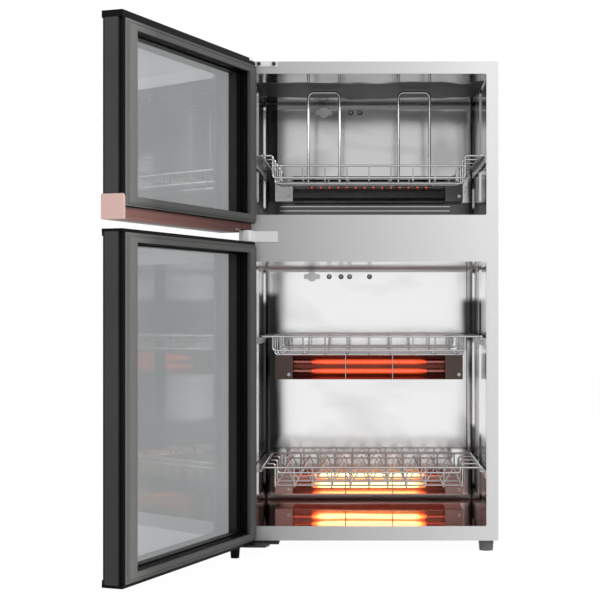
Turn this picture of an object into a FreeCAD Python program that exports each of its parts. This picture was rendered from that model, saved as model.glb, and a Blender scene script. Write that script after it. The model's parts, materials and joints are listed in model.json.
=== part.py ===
import FreeCAD, Part
import math
import os

import Sketcher
from FreeCAD import Placement, Rotation, Vector

# A free-standing dish sterilizer cabinet: a steel body with a small compartment above a large one,
# two glass doors hung on the left, three wire racks that slide out, and three quartz heaters.
# Lengths are in millimetres and angles in degrees.
# +X is right, +Y goes into the cabinet and +Z is up. The origin is on the floor, under the middle
# of the body. Inside this file, Y is counted from the face frame's front and shifted in place().

SIZES = {
    # body
    "body_width": 420.0,
    "body_height": 777.0,
    "body_depth": 365.0,
    "casing_sheet": 1.0,
    "face_sheet": 1.2,
    "base_sheet": 1.5,
    "stile": 19.5,
    "top_rail": 19.7,
    "middle_rail": 75.7,
    "bottom_rail": 23.4,
    "lower_opening": 429.2,
    "opening_corner": 2.5,
    # liners
    "rear_space": 25.0,
    "liner_sheet": 1.0,
    "liner_flange": 9.0,
    "cove_radius": 7.0,
    "panel_relief": 2.0,
    "panel_gap": 25.6,
    "panel_rear": 22.4,
    "panel_margin": 16.0,
    "panel_foot": 25.6,
    "panel_head": 4.0,
    "panel_corner": 10.0,
    # rear cover
    "vent_width": 56.0,
    "vent_height": 4.0,
    "vent_pitch": 10.0,
    "vent_count": 9,
    "gland_radius": 9.0,
    "gland_bore": 3.6,
    "gland_proud": 7.0,
    "gland_neck": 4.5,
    "gland_cone": 6.3,
    "gland_nut_radius": 7.2,
    "gland_nut": 3.0,
    "gland_rise": 60.0,
    "gland_side": 70.0,
    # feet
    "foot_height": 18.0,
    "foot_radius": 12.5,
    "foot_taper": 1.3,
    "foot_inset": 18.5,
    "foot_stem": 3.5,
    "foot_stem_length": 6.0,
    "foot_groove": 0.8,
    "foot_groove_count": 20,
    # electronics between the liners
    "board_width": 150.0,
    "board_depth": 96.0,
    "board_sheet": 1.6,
    "board_rise": 8.0,
    "post_inset": 7.5,
    "transformer_width": 36.0,
    "transformer_length": 28.8,
    "transformer_height": 24.0,
    "transformer_offset": 41.2,
    "transformer_lead": 9.6,
    "relay_width": 18.0,
    "relay_length": 19.2,
    "relay_height": 16.0,
    "relay_offset": 3.8,
    "relay_pitch": 26.2,
    "relay_lag": 14.4,
    "ozone_side": 73.0,
    "ozone_width": 62.0,
    "ozone_depth": 44.0,
    "ozone_height": 28.0,
    "ozone_foot": 9.3,
    # heaters
    "heater_height": 46.0,
    "heater_depth": 42.0,
    "heater_side_gap": 18.9,
    "heater_bracket_width": 32.0,
    "heater_screw_left": 25.0,
    "heater_screw_right": 7.0,
    "heater_sheet": 1.0,
    "heater_lip": 9.0,
    "tube_radius": 5.0,
    "tube_wall": 1.1,
    "tube_play": 0.3,
    "tube_overhang": 8.0,
    "tube_offset": 8.5,
    "coil_radius": 2.6,
    "coil_end_gap": 33.6,
    "coil_lead": 0.8,
    "guard_radius": 1.2,
    "guard_offset": 43.0,
    "bead_pitch": 16.2,
    "bead_count": 14,
    "upper_heater_rise": 44.8,
    "upper_tube_lift": 4.2,
    "middle_heater_rise": 224.0,
    "lower_heater_rise": 14.0,
    # thermostats
    "thermostat_radius": 9.0,
    "thermostat_depth": 7.0,
    "upper_thermostat_offset": 84.0,
    "lower_thermostat_offset": 106.0,
    "thermostat_drop": 16.2,
    "thermostat_ear": 15.0,
    "thermostat_strap": 9.0,
    "thermostat_screw": 2.2,
    # rack supports
    "support_width": 9.0,
    "support_hinge_width": 15.5,
    "support_height": 12.0,
    "support_sheet": 1.2,
    "support_start": 18.0,
    "support_rear_gap": 37.0,
    # racks
    "rack_front": 45.0,
    "rack_rear_gap": 13.0,
    "rack_side_gap": 3.0,
    "rack_hinge_gap": 11.5,
    "hanger_overhang": 26.5,
    "hanger_radius": 2.0,
    "rail_radius": 1.7,
    "low_rail_radius": 1.5,
    "wire_radius": 1.25,
    "wire_bend": 4.0,
    "weld": 0.5,
    "rack_play": 0.4,
    "upper_rack_rise": 100.7,
    "bowl_rack_rise": 306.8,
    "plate_rack_rise": 90.1,
    "upper_rail_drop": 16.4,
    "upper_low_drop": 36.4,
    "bowl_low_drop": 23.0,
    "plate_low_drop": 8.5,
    "upper_basket_drop": 41.4,
    "upper_basket_slope": 14.0,
    "bowl_basket_drop": 29.0,
    "plate_basket_drop": 34.0,
    "cradle_count": 3,
    "basket_pitch": 36.4,
    "basket_count": 9,
    "plate_pitch": 31.0,
    "plate_count": 11,
    "divider_rows": 3,
    "divider_lean": 18.0,
    "divider_spread": 0.76,
    "loop_headroom": 3.0,
    "loop_radius": 2.3,
    "loop_inner": 51.1,
    "loop_outer": 105.4,
    "loop_bend": 9.0,
    # doors
    "open_angle": 110.7,
    "hinge_inset": 12.0,
    "door_stop_gap": 0.6,
    "door_gap": 12.4,
    "door_gap_drop": 1.05,
    "lower_door_drop": 1.0,
    "door_clearance": 5.5,
    "gasket_gap": 0.4,
    "frame_depth": 21.0,
    "inner_frame_depth": 6.5,
    "inner_frame_inset": 4.0,
    "glass": 4.0,
    "glass_corner": 3.0,
    "cap_proud": 1.0,
    "cap_height": 9.5,
    "cap_sheet": 4.0,
    "cap_lip": 10.0,
    "cap_corner": 5.0,
    "cap_free_corner": 1.5,
    "gasket_inset": 7.0,
    "gasket_side": 25.0,
    "gasket_end": 12.7,
    "gasket_end_inset": 1.0,
    "gasket_step": 3.0,
    "gasket_base": 2.1,
    "gasket_groove": 1.0,
    "recess_margin": 1.0,
    "recess_wall": 2.0,
    "recess_depth": 14.5,
    "recess_ledge": 10.0,
    "recess_end_ledge": 2.0,
    "trim_height": 34.4,
    "trim_shelf": 17.6,
    "trim_lip": 4.0,
    "trim_wall": 2.5,
    "trim_web_inset": 6.5,
    "trim_end_sheet": 1.0,
    "trim_end_flange": 6.5,
    "trim_end_lap": 1.5,
    "trim_hinge_rise": 7.0,
    "trim_hinge_length": 62.0,
    # hinges
    "pin_radius": 3.0,
    "pin_play": 0.05,
    "pin_reach": 5.0,
    "pin_socket_play": 1.0,
    "bracket_sheet": 2.0,
    "bracket_arm": 3.0,
    "bracket_half": 11.0,
    "bracket_corner": 7.7,
    "bracket_length": 61.0,
    "bracket_inset": 6.0,
    "bracket_screw": 30.5,
    "bracket_screw_pitch": 24.4,
    "middle_bracket_height": 17.7,
    "middle_bracket_lift": 3.45,
    "top_bracket_height": 8.5,
    "arm_play": 0.6,
    "bottom_bracket_gap": 1.5,
    "bottom_bracket_reach": 52.0,
    "bottom_bracket_nose": 38.0,
    "bottom_bracket_step": 4.5,
    "bottom_bracket_front": 19.0,
    "bottom_bracket_back": 36.0,
    "bottom_screw": 7.8,
    "bottom_screw_pitch": 31.2,
    "screw_radius": 1.6,
    "screw_head_radius": 3.2,
    "screw_head": 2.0,
    "screw_length": 7.0,
    # support foot of the lower door
    "door_foot_radius": 7.9,
    "door_foot_taper": 1.2,
    "door_foot_gap": 2.2,
    "door_foot_lift": 1.2,
}

document = FreeCAD.newDocument("dish_sterilizer")
parts = []


def fill_sheet():
    """The driving sizes, one to a row, each with its name as the alias."""
    sheet = document.addObject("Spreadsheet::Sheet", "sizes")
    for row, (name, number) in enumerate(SIZES.items(), start=1):
        sheet.set(f"A{row}", name)
        sheet.set(f"B{row}", str(number))
        sheet.setAlias(f"B{row}", name)
    document.recompute()
    return sheet


class Size:
    """A length or an angle: its formula over the sheet, and the number that this gives now."""

    def __init__(self, text, number):
        self.text, self.number = text, number

    def combine(self, sign, other, number):
        return Size(f"({self.text} {sign} {other.text})", number)

    def __add__(self, other):
        other = size(other)
        return self.combine("+", other, self.number + other.number)

    def __sub__(self, other):
        other = size(other)
        return self.combine("-", other, self.number - other.number)

    def __mul__(self, other):
        other = size(other)
        return self.combine("*", other, self.number * other.number)

    def __truediv__(self, other):
        other = size(other)
        return self.combine("/", other, self.number / other.number)

    def __radd__(self, other):
        return size(other) + self

    def __rsub__(self, other):
        return size(other) - self

    def __rmul__(self, other):
        return size(other) * self

    def __neg__(self):
        return Size(f"(0 - {self.text})", -self.number)


def size(thing):
    return thing if isinstance(thing, Size) else Size(str(float(thing)), float(thing))


def sine(angle):
    return Size(f"sin({angle.text})", math.sin(math.radians(angle.number)))


def cosine(angle):
    return Size(f"cos({angle.text})", math.cos(math.radians(angle.number)))


class Names:
    """The sheet's sizes, as attributes."""

    def __init__(self, sheet):
        for name in SIZES:
            setattr(self, name, Size(f"sizes.{name}", float(sheet.get(name))))


s = Names(fill_sheet())

# ---------------------------------------------------------------- derived places
half = s.body_width / 2
underside = s.foot_height
lid = s.foot_height + s.body_height
opening_half = half - s.stile
liner_back = s.body_depth - s.rear_space
lower_floor = underside + s.bottom_rail
lower_ceiling = lower_floor + s.lower_opening
upper_floor = lower_ceiling + s.middle_rail
upper_ceiling = lid - s.top_rail

# The pin stands far enough in front of the face for the open door's end to clear the body's side.
pin_forward = (s.hinge_inset * (1 - cosine(s.open_angle)) + s.door_stop_gap) / sine(s.open_angle)
pin_x = s.hinge_inset - half
pin_y = -pin_forward

# A door's layers, counted from its pin towards the body's face.
layer_gasket = pin_forward - s.gasket_gap
layer_inner = pin_forward - s.door_clearance
layer_frame = layer_inner - s.inner_frame_depth
layer_glass = layer_frame - s.frame_depth
layer_front = layer_glass - s.glass
layer_cap = layer_front - s.cap_proud
layer_ledge = layer_inner - s.recess_depth
hinge_side = -s.hinge_inset
free_side = s.body_width - s.hinge_inset

split = lower_ceiling + s.middle_rail / 2 - s.door_gap_drop
upper_door_low = split + s.door_gap / 2
lower_door_low = underside - s.lower_door_drop
upper_door_height = lid - upper_door_low
lower_door_height = split - s.door_gap / 2 - lower_door_low


# ---------------------------------------------------------------- drawing
def fix(sketch, kind, places, length):
    """A dimension of a sketch, bound to a size."""
    index = sketch.addConstraint(Sketcher.Constraint(kind, *places, length.number))
    sketch.setExpression(f"Constraints[{index}]", length.text)


def outline(*corners):
    """A closed outline through corners, each a pair of sizes."""
    corners = [(size(x), size(y)) for x, y in corners]

    def draw(sketch):
        first = sketch.GeometryCount
        ends = [Vector(x.number, y.number, 0) for x, y in corners]
        count = len(ends)
        lines = [Part.LineSegment(ends[i], ends[(i + 1) % count]) for i in range(count)]
        sketch.addGeometry(lines, False)
        for i in range(count):
            after = first + (i + 1) % count
            sketch.addConstraint(Sketcher.Constraint("Coincident", first + i, 2, after, 1))
        for i, (x, y) in enumerate(corners):
            fix(sketch, "DistanceX", (-1, 1, first + i, 1), x)
            fix(sketch, "DistanceY", (-1, 1, first + i, 1), y)

    return draw


def box(left, right, low, high):
    return outline((left, low), (right, low), (right, high), (left, high))


def rounded_box(left, right, low, high, radius):
    """A rectangle with four equal round corners."""
    left, right, low, high, radius = map(size, (left, right, low, high, radius))

    def draw(sketch):
        first = sketch.GeometryCount
        x0, x1, y0, y1, r = (v.number for v in (left, right, low, high, radius))
        sides = [
            Part.LineSegment(Vector(x0 + r, y0, 0), Vector(x1 - r, y0, 0)),
            Part.LineSegment(Vector(x1, y0 + r, 0), Vector(x1, y1 - r, 0)),
            Part.LineSegment(Vector(x1 - r, y1, 0), Vector(x0 + r, y1, 0)),
            Part.LineSegment(Vector(x0, y1 - r, 0), Vector(x0, y0 + r, 0)),
        ]
        centres = [(x1 - r, y0 + r), (x1 - r, y1 - r), (x0 + r, y1 - r), (x0 + r, y0 + r)]
        starts = [-math.pi / 2, 0, math.pi / 2, math.pi]
        corners = [
            Part.ArcOfCircle(Part.Circle(Vector(x, y, 0), Vector(0, 0, 1), r), a, a + math.pi / 2)
            for (x, y), a in zip(centres, starts)
        ]
        sketch.addGeometry(sides + corners, False)
        for i in range(4):
            line, arc, after = first + i, first + 4 + i, first + (i + 1) % 4
            sketch.addConstraint(Sketcher.Constraint("Tangent", line, 2, arc, 1))
            sketch.addConstraint(Sketcher.Constraint("Tangent", arc, 2, after, 1))
            kind = "Vertical" if i % 2 else "Horizontal"
            sketch.addConstraint(Sketcher.Constraint(kind, line))
        for i in range(1, 4):
            sketch.addConstraint(Sketcher.Constraint("Equal", first + 4, first + 4 + i))
        fix(sketch, "Radius", (first + 4,), radius)
        fix(sketch, "DistanceX", (-1, 1, first + 3, 1), left)
        fix(sketch, "DistanceX", (-1, 1, first + 1, 1), right)
        fix(sketch, "DistanceY", (-1, 1, first, 1), low)
        fix(sketch, "DistanceY", (-1, 1, first + 2, 1), high)

    return draw


def disc(x, y, radius):
    """A circle about a point."""
    x, y, radius = map(size, (x, y, radius))

    def draw(sketch):
        first = sketch.GeometryCount
        centre = Vector(x.number, y.number, 0)
        sketch.addGeometry(Part.Circle(centre, Vector(0, 0, 1), radius.number), False)
        fix(sketch, "DistanceX", (-1, 1, first, 3), x)
        fix(sketch, "DistanceY", (-1, 1, first, 3), y)
        fix(sketch, "Radius", (first,), radius)

    return draw


def toward(here, there, distance):
    """The point at a distance from here, along an upright or level line to there."""
    (x, y), (far_x, far_y) = here, there
    across, up = far_x.number - x.number, far_y.number - y.number
    if abs(across) > abs(up):
        return x + distance * math.copysign(1, across), y
    return x, y + distance * math.copysign(1, up)


def point(place):
    return Vector(place[0].number, place[1].number, 0)


def bent_line(bend, corners):
    """An open line through corners with square turns, each turn rounded to the same bend."""

    def draw(sketch):
        last = len(corners) - 2
        ends = [
            (toward(a, b, bend if i else size(0)), toward(b, a, bend if i < last else size(0)))
            for i, (a, b) in enumerate(zip(corners, corners[1:]))
        ]
        sketch.addGeometry([Part.LineSegment(point(a), point(b)) for a, b in ends], False)
        for i, stretch in enumerate(ends):
            for which, (x, y) in enumerate(stretch, start=1):
                fix(sketch, "DistanceX", (-1, 1, i, which), x)
                fix(sketch, "DistanceY", (-1, 1, i, which), y)
        for i in range(last):
            before, after = point(ends[i][1]), point(ends[i + 1][0])
            centre = before + after - point(corners[i + 1])
            left = (before - centre).cross(after - centre).z > 0
            first = before - centre if left else after - centre
            angle = math.atan2(first.y, first.x)
            circle = Part.Circle(centre, Vector(0, 0, 1), bend.number)
            arc = sketch.addGeometry(Part.ArcOfCircle(circle, angle, angle + math.pi / 2), False)
            near_end, far_end = (1, 2) if left else (2, 1)
            sketch.addConstraint(Sketcher.Constraint("Tangent", i, 2, arc, near_end))
            sketch.addConstraint(Sketcher.Constraint("Coincident", arc, far_end, i + 1, 1))

    return draw


def sharp_line(corners):
    """An open line through corners."""

    def draw(sketch):
        pairs = zip(corners, corners[1:])
        sketch.addGeometry([Part.LineSegment(point(a), point(b)) for a, b in pairs], False)
        count = len(corners) - 1
        for i in range(count - 1):
            sketch.addConstraint(Sketcher.Constraint("Coincident", i, 2, i + 1, 1))
        for i, (x, y) in enumerate(corners):
            vertex = (-1, 1, i, 1) if i < count else (-1, 1, i - 1, 2)
            fix(sketch, "DistanceX", vertex, x)
            fix(sketch, "DistanceY", vertex, y)

    return draw


# ---------------------------------------------------------------- solids
def place(thing, x=0, y=0, z=0, turn=None):
    """Put a sub-part by its own origin; y counts from the face frame's front."""
    x, y, z = size(x), size(y) - s.body_depth / 2, size(z)
    angle = turn.number if turn else 0
    down = Vector(0, 0, -1)
    thing.Placement = Placement(Vector(x.number, y.number, z.number), Rotation(down, angle))
    for axis, length in zip("xyz", (x, y, z)):
        thing.setExpression(f"Placement.Base.{axis}", length.text)
    if turn:
        thing.setExpression("Placement.Rotation.Angle", turn.text)


def new_body(name, **where):
    """An empty body in its place, and a sub-part of the cabinet."""
    body = document.addObject("PartDesign::Body", name)
    body.Label = name
    place(body, **where)
    parts.append(body)
    return body


def sketch_on(body, axes, at, loops):
    """A sketch across the body at one height along the axis that its plane faces."""
    sketch = body.newObject("Sketcher::SketchObject", f"{body.Name}_sketch")
    role = f"{axes}_Plane"
    plane = next(f for f in body.Origin.OriginFeatures if f.Role == role)
    sketch.AttachmentSupport = [(plane, "")]
    sketch.MapMode = "FlatFace"
    at = size(at)
    shift = -at if axes == "XZ" else at
    sketch.setExpression("AttachmentOffset.Base.z", shift.text)
    for draw in loops:
        draw(sketch)
    sketch.Visibility = False
    return sketch


def grow(body, kind, axes, start, end, loops):
    """Pad or pocket the loops from start to end along the axis that their plane faces."""
    sketch = sketch_on(body, axes, start, loops)
    feature = body.newObject(f"PartDesign::{kind}", f"{body.Name}_{kind.lower()}")
    feature.Profile = sketch
    feature.setExpression("Length", (size(end) - size(start)).text)
    feature.Reversed = (axes == "XZ") == (kind == "Pad")
    return feature


def pad(body, axes, start, end, *loops):
    return grow(body, "Pad", axes, start, end, loops)


def pocket(body, axes, start, end, *loops):
    return grow(body, "Pocket", axes, start, end, loops)


def bar(body, axes, at, radius, bend, *corners):
    """A round bar through corners in one plane, which sets off along one of its two axes."""
    corners = [(size(x), size(y)) for x, y in corners]
    spine = sketch_on(body, axes, at, [bent_line(bend, corners) if bend else sharp_line(corners)])
    (x, y), (next_x, next_y) = corners[:2]
    if abs(next_x.number - x.number) > abs(next_y.number - y.number):
        across, height, rim = ("YZ", x, (at, y)) if axes == "XZ" else ("XZ", x, (at, y))
    else:
        across, height, rim = "XY", y, (x, at) if axes == "XZ" else (at, x)
    pipe = body.newObject("PartDesign::AdditivePipe", f"{body.Name}_bar")
    pipe.Profile = sketch_on(body, across, height, [disc(*rim, radius)])
    pipe.Spine = (spine, [f"Edge{i + 1}" for i in range(spine.GeometryCount)])
    if not bend:
        pipe.Transition = "Round corner"
    return pipe


def taper(body, x, y, low, low_radius, high, high_radius):
    """A round upright solid whose radius changes evenly from its low end to its high end."""
    loft = body.newObject("PartDesign::AdditiveLoft", f"{body.Name}_taper")
    loft.Profile = sketch_on(body, "XY", low, [disc(x, y, low_radius)])
    loft.Sections = [sketch_on(body, "XY", high, [disc(x, y, high_radius)])]


def repeat_along(body, feature, direction, span, count):
    """Copies of a feature, evenly spaced over a span along one of its sketch's own axes."""
    pattern = body.newObject("PartDesign::LinearPattern", f"{body.Name}_row")
    pattern.Originals = [feature]
    pattern.Direction = (feature.Profile[0], [direction])
    pattern.setExpression("Length", span.text)
    pattern.setExpression("Occurrences", count.text)
    body.Tip = pattern
    return pattern


def round_edges(body, radius, chosen):
    """Round the edges of the body so far that chosen() picks."""
    document.recompute()
    base = body.Tip
    names = [f"Edge{i}" for i, edge in enumerate(base.Shape.Edges, start=1) if chosen(edge)]
    feature = body.newObject("PartDesign::Fillet", f"{body.Name}_fillet")
    feature.Base = (base, names)
    feature.setExpression("Radius", radius.text)
    return feature


def runs_along(edge, axis):
    """Is this a straight edge along the axis, x, y or z?"""
    first, last = edge.Vertexes[0].Point, edge.Vertexes[-1].Point
    across = [abs(getattr(first, a) - getattr(last, a)) for a in "xyz" if a != axis]
    return first.distanceToPoint(last) > 1 and max(across) < 0.001


def middle_of(edge):
    return edge.BoundBox.Center


def near(value, *sizes):
    return any(abs(value - length.number) < 0.01 for length in sizes)


# ---------------------------------------------------------------- body
def casing():
    """One sheet folded over both sides and the top, open below."""
    body = new_body("casing")
    wall = s.casing_sheet
    pad(
        body, "XZ", s.face_sheet, s.body_depth,
        outline(
            (-half, underside), (wall - half, underside), (wall - half, lid - wall),
            (half - wall, lid - wall), (half - wall, underside), (half, underside),
            (half, lid), (-half, lid),
        ),
    )


def face_frame():
    """The front sheet with both openings, which covers the casing's edges."""
    body = new_body("face_frame")
    corner = s.opening_corner
    pad(
        body, "XZ", 0, s.face_sheet,
        box(-half, half, underside, lid),
        rounded_box(-opening_half, opening_half, lower_floor, lower_ceiling, corner),
        rounded_box(-opening_half, opening_half, upper_floor, upper_ceiling, corner),
    )
    flange = s.face_sheet + s.liner_flange
    inner = half - s.casing_sheet
    pad(
        body, "XZ", s.face_sheet, flange,
        box(-inner, inner, underside + s.base_sheet, lid - s.casing_sheet),
        box(
            s.face_sheet - inner, inner - s.face_sheet,
            underside + s.base_sheet + s.face_sheet, lid - s.casing_sheet - s.face_sheet,
        ),
    )


def base_plate():
    """The floor of the body, with a hole for each foot's stem."""
    body = new_body("base_plate")
    inner = half - s.casing_sheet
    pad(
        body, "XY", underside, underside + s.base_sheet,
        box(-inner, inner, s.face_sheet, s.body_depth - s.casing_sheet),
        *[disc(x, y, s.foot_stem) for x, y in foot_places],
    )


def rear_cover():
    """The back sheet, with two groups of vents and a hole for the cord's gland."""
    body = new_body("rear_cover")
    inner = half - s.casing_sheet
    inside = s.body_depth - s.casing_sheet
    pad(
        body, "XZ", inside, s.body_depth,
        box(-inner, inner, underside, lid - s.casing_sheet),
        disc(half - s.gland_side, underside + s.gland_rise, s.gland_neck),
    )
    low = split - s.vent_pitch * (s.vent_count - 1) / 2
    for side in (-1, 1):
        middle = half / 2 * side
        vent = pocket(
            body, "XZ", inside, s.body_depth,
            box(
                middle - s.vent_width / 2, middle + s.vent_width / 2,
                low - s.vent_height / 2, low + s.vent_height / 2,
            ),
        )
        repeat_along(body, vent, "V_Axis", s.vent_pitch * (s.vent_count - 1), s.vent_count)


def liner(name, floor, ceiling):
    """A stainless box, open in front, with rounded rear corners and two raised panels a side."""
    body = new_body(name)
    wall, depth = s.liner_sheet, liner_back
    front = s.face_sheet
    relief = s.panel_relief
    pad(
        body, "XZ", front, depth + wall,
        box(-opening_half - wall, opening_half + wall, floor - wall, ceiling + wall),
    )
    panel_low, panel_high = floor + s.panel_foot, ceiling - s.panel_head
    width = (depth - s.panel_margin - s.panel_gap - s.panel_rear) / 2
    starts = (s.panel_margin, depth - s.panel_rear - width)
    shapes = [(start, start + width, panel_low, panel_high, s.panel_corner) for start in starts]
    pocket(body, "XZ", front, depth, box(-opening_half, opening_half, floor, ceiling))
    for place_y, radius in ((depth, s.cove_radius), (depth + wall, s.cove_radius + wall)):
        round_edges(
            body, radius,
            lambda e: near(middle_of(e).y, place_y) and not runs_along(e, "y"),
        )
    outer = opening_half + wall
    for start, end in ((-outer - relief, -outer), (outer, outer + relief)):
        pad(body, "YZ", start, end, *[rounded_box(*shape) for shape in shapes])
    for start, end in ((-outer - relief + wall, -opening_half), (opening_half, outer + relief - wall)):
        pocket(body, "YZ", start, end, *[rounded_box(*inset_panel(*shape)) for shape in shapes])
    reach = s.liner_flange + wall
    pad(
        body, "XZ", front, front + wall,
        box(-opening_half - reach, opening_half + reach, floor - reach, ceiling + reach),
        box(-opening_half - wall / 2, opening_half + wall / 2, floor - wall / 2, ceiling + wall / 2),
    )


def inset_panel(start, end, low, high, corner):
    """The inside of a raised panel, one sheet smaller than its outside."""
    wall = s.liner_sheet
    return start + wall, end - wall, low + wall, high - wall, corner - wall


def control_board():
    """A circuit board on four posts, with its transformer and relays, on the lower liner's roof."""
    roof = lower_ceiling + s.liner_sheet
    body = new_body("control_board", y=s.body_depth / 2, z=roof)
    across, deep = s.board_width / 2, s.board_depth / 2
    ends, sides = across - s.post_inset, deep - s.post_inset
    posts = [(-ends, -sides), (-ends, sides), (ends, -sides), (ends, sides)]
    pad(body, "XY", 0, s.board_rise, *[disc(x, y, s.screw_head_radius) for x, y in posts])
    pad(
        body, "XY", s.board_rise, s.board_rise + s.board_sheet,
        box(-across, across, -deep, deep),
    )
    top = s.board_rise + s.board_sheet
    wide, long = s.transformer_width / 2, s.transformer_length / 2
    x, y = -s.transformer_offset, -s.transformer_lead
    block = box(x - wide, x + wide, y - long, y + long)
    pad(body, "XY", top, top + s.transformer_height, block)
    wide, long = s.relay_width / 2, s.relay_length / 2
    for x in (-s.relay_offset, s.relay_pitch - s.relay_offset):
        block = box(x - wide, x + wide, s.relay_lag - long, s.relay_lag + long)
        pad(body, "XY", top, top + s.relay_height, block)


def ozone_generator():
    """A small box with a flanged foot, near the body's right side."""
    roof = lower_ceiling + s.liner_sheet
    body = new_body("ozone_generator", x=half - s.ozone_side, y=s.body_depth / 2, z=roof)
    across, deep = s.ozone_width / 2, s.ozone_depth / 2
    pad(body, "XY", 0, s.board_sheet, box(-across - s.ozone_foot, across + s.ozone_foot, -deep, deep))
    pad(body, "XY", s.board_sheet, s.ozone_height, box(-across, across, -deep, deep))


def cord_inlet():
    """The gland that a mains cord passes through, in the rear cover."""
    body = new_body("cord_inlet", x=half - s.gland_side, y=s.body_depth, z=underside + s.gland_rise)
    bore = disc(0, 0, s.gland_bore)
    pad(body, "XZ", 0, s.gland_proud / 2, disc(0, 0, s.gland_radius), bore)
    pad(body, "XZ", s.gland_proud / 2, s.gland_proud, disc(0, 0, s.gland_cone), bore)
    inside = -s.casing_sheet
    pad(body, "XZ", inside, 0, disc(0, 0, s.gland_neck), bore)
    pad(body, "XZ", inside - s.gland_nut, inside, disc(0, 0, s.gland_nut_radius), bore)


foot_y = s.foot_inset + s.face_sheet
foot_back = s.body_depth - s.foot_inset - s.casing_sheet
foot_places = [
    (half - s.foot_inset, foot_y),
    (half - s.foot_inset, foot_back),
    (s.foot_inset - half, foot_back),
    (s.foot_inset - half + s.foot_radius, s.bottom_bracket_back + s.foot_radius * 2),
]


def feet():
    """Four grooved rubber feet, wider at the top, with stems up through the base plate."""
    body = new_body("feet")
    for x, y in foot_places:
        taper(body, x, y, 0, s.foot_radius - s.foot_taper, s.foot_height, s.foot_radius)
    count = s.foot_groove_count
    turns = [size(360) / count * i for i in range(int(count.number))]
    rim = [(s.foot_radius * cosine(turn), s.foot_radius * sine(turn)) for turn in turns]
    for x, y in foot_places:
        grooves = [disc(x + across, y + deep, s.foot_groove) for across, deep in rim]
        pocket(body, "XY", 0, s.foot_height, *grooves)
    stems = [disc(x, y, s.foot_stem) for x, y in foot_places]
    pad(body, "XY", s.foot_height, s.foot_height + s.foot_stem_length, *stems)


# ---------------------------------------------------------------- heaters
heater_reach = opening_half - s.heater_side_gap


def heater(name, floor, tube_rises, beaded):
    """A reflector trough on the rear wall, its end brackets, quartz tubes and heating coils."""
    low, high = floor, floor + s.heater_height
    back = liner_back
    front = back - s.heater_depth
    reach, wall = heater_reach, s.heater_sheet
    inner = reach - s.heater_bracket_width
    lip = s.heater_lip

    trough = new_body(f"{name}_reflector")
    slope_low, slope_high = low + lip, high - lip
    pad(
        trough, "YZ", -inner, inner,
        outline(
            (front, low), (back, slope_low), (back, slope_high), (front, high),
            (front, high - wall), (back - wall, slope_high - wall),
            (back - wall, slope_low + wall), (front, low + wall),
        ),
    )

    brackets = new_body(f"{name}_brackets")
    for start, end in ((-reach, -inner), (inner, reach)):
        pad(brackets, "XZ", front, back, box(start, end, low, high))
        hollow = box(start + wall, end - wall, low + wall, high - wall)
        pocket(brackets, "XZ", front + wall, back, hollow)
    middle = (front + back) / 2
    pocket(
        brackets, "YZ", -inner - wall, inner + wall,
        *[disc(middle, low + rise, s.tube_radius + s.tube_play) for rise in tube_rises],
    )
    pocket(
        brackets, "XZ", front, front + wall,
        *[disc(x, low + lip, s.screw_radius) for x in heater_screw_places],
    )

    tubes = new_body(f"{name}_tubes")
    tube_end = inner + wall + s.tube_overhang
    for rise in tube_rises:
        pad(
            tubes, "YZ", -tube_end, tube_end,
            disc(middle, low + rise, s.tube_radius),
            disc(middle, low + rise, s.tube_radius - s.tube_wall),
        )

    coils = new_body(f"{name}_coils")
    for rise in tube_rises:
        pad(coils, "YZ", -tube_end, tube_end, disc(middle, low + rise, s.coil_lead))
        if beaded:
            span = s.bead_pitch * (s.bead_count - 1)
            bead = pad(
                coils, "YZ", -span / 2 - s.coil_lead, s.coil_lead - span / 2,
                disc(middle, low + rise, s.coil_radius),
            )
            repeat_along(coils, bead, "N_Axis", span, s.bead_count)
        else:
            coil_end = inner - s.coil_end_gap
            pad(coils, "YZ", -coil_end, coil_end, disc(middle, low + rise, s.coil_radius))

    if not beaded:
        guards = new_body(f"{name}_guards")
        radius = s.guard_radius
        end = wall + radius / 2
        pad(
            guards, "XY", low + end, high - end,
            *[disc(x, front + radius, radius) for x in (-s.guard_offset, s.guard_offset)],
        )


heater_screw_places = [
    -heater_reach + s.heater_screw_left,
    heater_reach - s.heater_screw_right,
]


def heater_screws(floors):
    """The screw in the lower corner of each heater bracket."""
    body = new_body("heater_screws")
    front = liner_back - s.heater_depth
    spots = [(x, floor + s.heater_lip) for floor in floors for x in heater_screw_places]
    pad(body, "XZ", front, front + s.screw_length, *[disc(x, z, s.screw_radius) for x, z in spots])
    pad(
        body, "XZ", front - s.screw_head, front,
        *[disc(x, z, s.screw_head_radius) for x, z in spots],
    )


def thermostat(name, offset, ceiling):
    """A round switch on a two-eared plate, on the rear wall."""
    body = new_body(name, x=-offset, y=liner_back, z=ceiling - s.thermostat_drop)
    ear, radius = s.thermostat_ear, s.thermostat_radius
    plate = s.casing_sheet
    strap, screw = s.thermostat_strap / 2, s.thermostat_screw
    pad(body, "XZ", -plate, 0, rounded_box(-ear, ear, -strap, strap, screw))
    pad(body, "XZ", -s.thermostat_depth, -plate, disc(0, 0, radius))
    heads = [disc(x, 0, screw) for x in (-ear + screw, ear - screw)]
    pad(body, "XZ", -plate - s.screw_head, -plate, *heads)


# ---------------------------------------------------------------- racks and their supports
hanger_rises = {
    "upper_rack": upper_floor + s.upper_rack_rise,
    "bowl_rack": lower_floor + s.bowl_rack_rise,
    "plate_rack": lower_floor + s.plate_rack_rise,
}


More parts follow.
